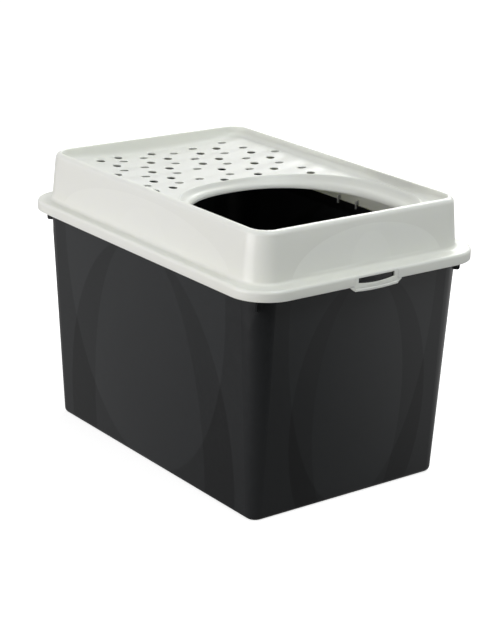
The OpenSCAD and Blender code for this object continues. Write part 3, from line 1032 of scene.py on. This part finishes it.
# Painted reflection: the floor glows for reflected rays only, so the walls mirror it brighter
# aslant, to the right and to the back.
MIRRORED_ASLANT = (-0.35, 0.15, 0.0, 0.19)
MIRRORED_RIGHT = (0.0, 0.7, 0.0, 0.35)
MIRRORED_BACK = (-0.9, -0.3, 0.0, 0.125)

LAMP_AIM = (0.0, 0.0, 0.25)
WARM = (1.0, 0.975, 0.985)
NEUTRAL = (1.0, 1.0, 0.985)
COOL = (0.965, 1.0, 0.995)
# Each lamp's name, place, size, colour and setting of its power.
LAMPS = (
    ("left_softbox", (-1.9, 0.2, 0.5), (1.4, 0.9), WARM, "left_lamp"),
    ("back_softbox", (1.4, 0.8, 1.8), (1.4, 1.4), NEUTRAL, "back_lamp"),
    ("front_softbox", (0.0, -1.2, 2.0), (1.4, 1.2), COOL, "front_lamp"),
)


def ray_kinds(tree):
    """Two outputs: 1 for rays from the camera, 1 for those from mirrors and clear things."""
    path = tree.nodes.new("ShaderNodeLightPath")
    either = tree.nodes.new("ShaderNodeMath")
    either.operation = "MAXIMUM"
    tree.links.new(path.outputs["Is Glossy Ray"], either.inputs[0])
    tree.links.new(path.outputs["Is Transmission Ray"], either.inputs[1])
    return path.outputs["Is Camera Ray"], either.outputs["Value"]


def floor_material():
    """White paper that keeps the box's shadow; to reflected rays it is an uneven glow that paints
    the walls' reflections.
    """
    graph = Graph("white_sweep")
    camera, mirror = ray_kinds(graph.tree)
    paper = graph.mix(graph.ramp(graph.noise(2.0), 0.3, 0.7), *PAPER)
    graph.link(graph.mix(mirror, paper, (0.0, 0.0, 0.0)), graph.shader.inputs["Base Color"])
    graph.shader.inputs["Roughness"].default_value = 0.9
    graph.shader.inputs["Specular IOR Level"].default_value = 0.1
    x, y, _ = graph.axes("Object")
    reach = graph.math("SQRT", graph.pairs(x, x, y, y))
    seen = graph.ramp(reach, SEEN_NEAR[0], SEEN_FAR[0], SEEN_NEAR[1], SEEN_FAR[1])
    # Painted reflection: an uneven glow seen only by reflected rays.
    aslant = graph.ramp(graph.pairs(x, 0.8, y, 0.6), *MIRRORED_ASLANT)
    mirrored = graph.math("ADD", aslant, graph.ramp(x, *MIRRORED_RIGHT))
    mirrored = graph.math("ADD", mirrored, graph.ramp(y, *MIRRORED_BACK))
    total = graph.pairs(seen, camera, mirrored, mirror)
    graph.shader.inputs["Emission Color"].default_value = WHITE
    graph.link(total, graph.shader.inputs["Emission Strength"])
    return graph.material


def make_floor():
    """A wide flat sheet that the box stands on."""
    half = FLOOR_HALF
    corners = [(-half, -half, 0.0), (half, -half, 0.0), (half, half, 0.0), (-half, half, 0.0)]
    mesh = bpy.data.meshes.new("studio_floor")
    mesh.from_pydata(corners, [], [(0, 1, 2, 3)])
    mesh.materials.append(floor_material())
    floor = bpy.data.objects.new("studio_floor", mesh)
    bpy.context.collection.objects.link(floor)


def make_world(ambient):
    """White to the camera and to mirrors, softer as a source of light."""
    world = bpy.data.worlds.new("white_room")
    world.use_nodes = True
    tree = world.node_tree
    background = tree.nodes["Background"]
    background.inputs["Color"].default_value = WHITE
    strength = tree.nodes.new("ShaderNodeMapRange")
    strength.inputs["To Min"].default_value = ambient
    strength.inputs["To Max"].default_value = 1.0
    seen = tree.nodes.new("ShaderNodeMath")
    seen.operation = "MAXIMUM"
    for socket, rays in zip(seen.inputs, ray_kinds(tree)):
        tree.links.new(rays, socket)
    tree.links.new(seen.outputs["Value"], strength.inputs["Value"])
    tree.links.new(strength.outputs["Result"], background.inputs["Strength"])
    bpy.context.scene.world = world


def make_lamp(name, place, size, tint, watts):
    """A rectangular soft lamp aimed at the box's upper half."""
    data = bpy.data.lights.new(name, "AREA")
    data.shape = "RECTANGLE"
    data.size, data.size_y = size
    data.color = tint
    data.energy = watts
    lamp = bpy.data.objects.new(name, data)
    lamp.location = place
    lamp.rotation_euler = (Vector(LAMP_AIM) - Vector(place)).to_track_quat("-Z", "Y").to_euler()
    bpy.context.collection.objects.link(lamp)


def make_camera(settings):
    """A camera set by its angles, its distance and where it aims."""
    turn, rise, tilt = settings.azimuth, settings.elevation, settings.roll
    back = Vector((
        math.sin(turn) * math.cos(rise), -math.cos(turn) * math.cos(rise), math.sin(rise)
    ))
    right = Vector((math.cos(turn), math.sin(turn), 0.0))
    up = back.cross(right)
    aim = right * settings.aim_right + Vector((0.0, 0.0, settings.aim_height))
    across = right * math.cos(tilt) + up * math.sin(tilt)
    upright = up * math.cos(tilt) - right * math.sin(tilt)
    data = bpy.data.cameras.new("camera")
    data.lens = settings.focal_px * data.sensor_width / PHOTO_HEIGHT_PX
    data.clip_end = 50.0
    camera = bpy.data.objects.new("camera", data)
    axes = Matrix((across, upright, back)).transposed()
    camera.matrix_world = Matrix.Translation(back * settings.distance + aim) @ axes.to_4x4()
    bpy.context.collection.objects.link(camera)
    bpy.context.scene.camera = camera


# ---------- operators


class LITTERBOX_OT_dress_tub(bpy.types.Operator):
    """Gives the tub its anthracite plastic with moulded ellipses"""

    bl_idname = "litterbox.dress_tub"
    bl_label = "Dress Tub"

    def execute(self, context):
        dress(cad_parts["tub"], tub_plastic(context.scene.litterbox_tub))
        return {"FINISHED"}


class LITTERBOX_OT_build_lid(bpy.types.Operator):
    """Moulds the lid: tread, collar, rolled rim, surround, flange and guide ribs"""

    bl_idname = "litterbox.build_lid"
    bl_label = "Build Lid"

    def execute(self, context):
        scene = context.scene
        plastic = lid_plastic(scene.litterbox_lid)
        shape, entry = scene.litterbox_lid_shape, scene.litterbox_entry
        lid = make_lid(shape, entry, scene.litterbox_latch, plastic)
        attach(lid, "lid")
        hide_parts("lid")
        return {"FINISHED"}


class LITTERBOX_OT_build_latches(bpy.types.Operator):
    """Moulds the latch at each end of the lid"""

    bl_idname = "litterbox.build_latches"
    bl_label = "Build Latches"

    def execute(self, context):
        scene = context.scene
        plastic = bpy.data.materials.get("off_white_plastic") or lid_plastic(scene.litterbox_lid)
        shape, sizes = scene.litterbox_lid_shape, scene.litterbox_latch
        for name, side in LATCHES:
            latch = make_latch(name, side, shape, sizes, plastic)
            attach(latch, name)
            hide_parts(name)
        return {"FINISHED"}


class LITTERBOX_OT_build_studio(bpy.types.Operator):
    """Adds the white floor, the room light, the soft lamps and the camera"""

    bl_idname = "litterbox.build_studio"
    bl_label = "Build Studio"

    def execute(self, context):
        studio = context.scene.litterbox_studio
        make_floor()
        make_world(studio.ambient)
        for name, place, size, tint, key in LAMPS:
            make_lamp(name, place, size, tint, getattr(studio, key))
        make_camera(studio)
        context.scene.view_settings.view_transform = "Standard"
        return {"FINISHED"}


class LITTERBOX_PT_panel(bpy.types.Panel):
    """Lists the steps and their settings"""

    bl_idname = "LITTERBOX_PT_panel"
    bl_label = "Litter Box"
    bl_space_type = "VIEW_3D"
    bl_region_type = "UI"
    bl_category = "Litter Box"

    def draw(self, context):
        for key, (group, step) in GROUPS.items():
            box = self.layout.box()
            box.operator(step)
            for name in group.__annotations__:
                box.prop(getattr(context.scene, key), name)


# Settings groups by name, each with the step that uses it.
GROUPS = {
    "litterbox_tub": (TubFinish, "litterbox.dress_tub"),
    "litterbox_lid": (LidFinish, "litterbox.build_lid"),
    "litterbox_lid_shape": (LidShape, "litterbox.build_lid"),
    "litterbox_entry": (EntryShape, "litterbox.build_lid"),
    "litterbox_latch": (LatchShape, "litterbox.build_latches"),
    "litterbox_studio": (StudioSettings, "litterbox.build_studio"),
}
CLASSES = (
    *(group for group, _ in GROUPS.values()),
    LITTERBOX_OT_dress_tub,
    LITTERBOX_OT_build_lid,
    LITTERBOX_OT_build_latches,
    LITTERBOX_OT_build_studio,
    LITTERBOX_PT_panel,
)


def register():
    """Adds the classes and the scene's settings."""
    for cls in CLASSES:
        bpy.utils.register_class(cls)
    for key, (group, _) in GROUPS.items():
        setattr(bpy.types.Scene, key, PointerProperty(type=group))


def unregister():
    """Takes the settings and the classes away again."""
    for key in reversed(GROUPS):
        delattr(bpy.types.Scene, key)
    for cls in reversed(CLASSES):
        bpy.utils.unregister_class(cls)


def main():
    """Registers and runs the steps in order."""
    register()
    bpy.ops.litterbox.dress_tub()
    bpy.ops.litterbox.build_lid()
    bpy.ops.litterbox.build_latches()
    bpy.ops.litterbox.build_studio()


if __name__ == "__main__":
    main()
